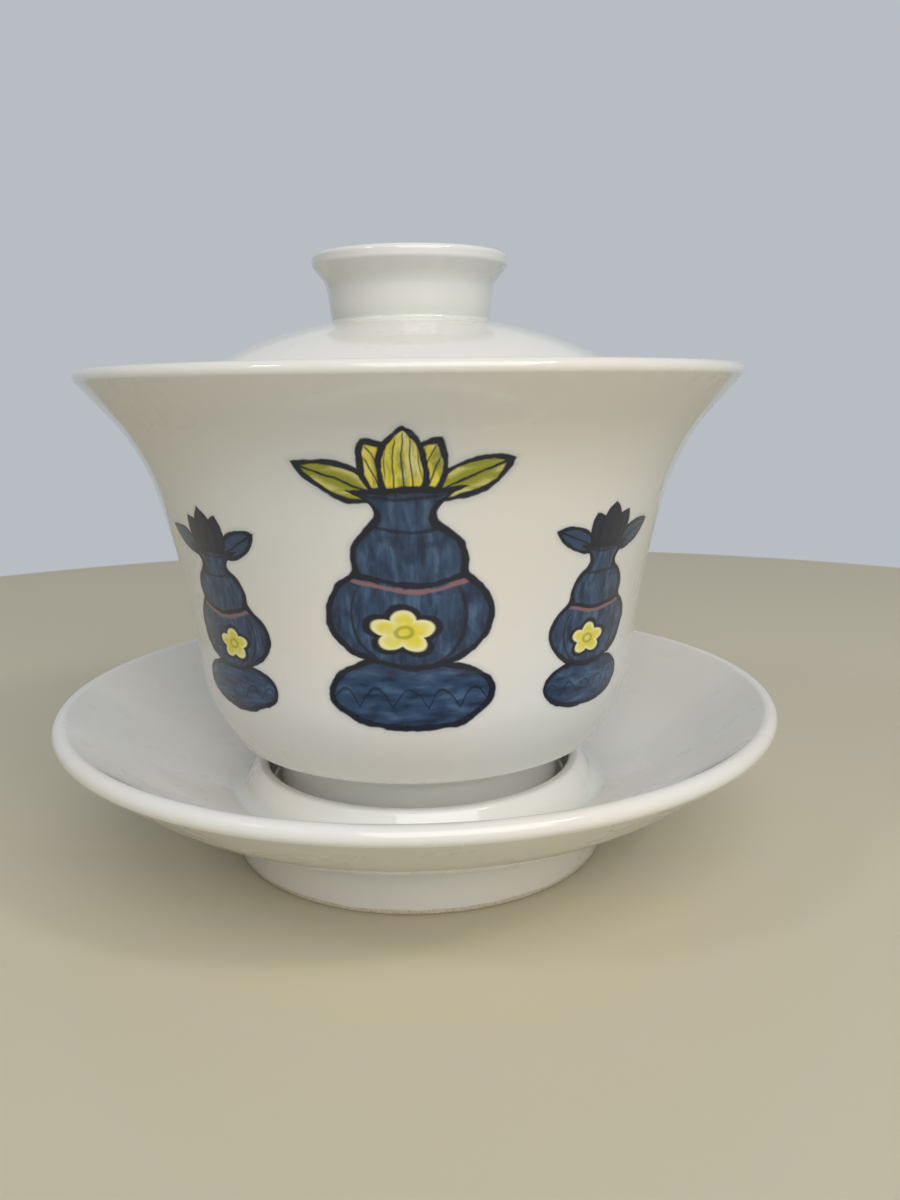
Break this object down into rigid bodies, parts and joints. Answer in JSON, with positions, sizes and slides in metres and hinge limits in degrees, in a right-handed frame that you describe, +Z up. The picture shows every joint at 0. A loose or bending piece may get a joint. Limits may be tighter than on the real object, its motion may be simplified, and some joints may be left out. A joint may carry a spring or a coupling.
{
  "type": "gaiwan",
  "caption": "Lidded porcelain tea bowl with a flared rim, on a footed saucer; its domed lid has a hollow ring knob and lifts off, and the bowl lifts off the saucer.",
  "frame": {"origin": "centre of the face the saucer stands on", "axes": "+Z up along the axis that all three pieces are turned about; +Y points away from the painted front"},
  "size_m": [0.11, 0.11, 0.0898],
  "materials": {
    "saucer_glaze": "glossy clear glaze on white porcelain, foot ring bare",
    "bowl_glaze": "glossy clear glaze over cobalt blue and yellow brush painting, foot ring bare",
    "lid_glaze": "glossy clear glaze on white porcelain, bare on the edge"
  },
  "bodies": {
    "saucer": {"saucer": "saucer_glaze"},
    "bowl": {"bowl": "bowl_glaze"},
    "lid": {"lid": "lid_glaze"}
  },
  "joints": [
    {"name": "bowl_lift", "type": "slide", "parent": "saucer", "child": "bowl", "axis": [0, 0, 1], "range_m": [0, 0.04]},
    {"name": "lid_lift", "type": "slide", "parent": "bowl", "child": "lid", "axis": [0, 0, 1], "range_m": [0, 0.05]}
  ]
}
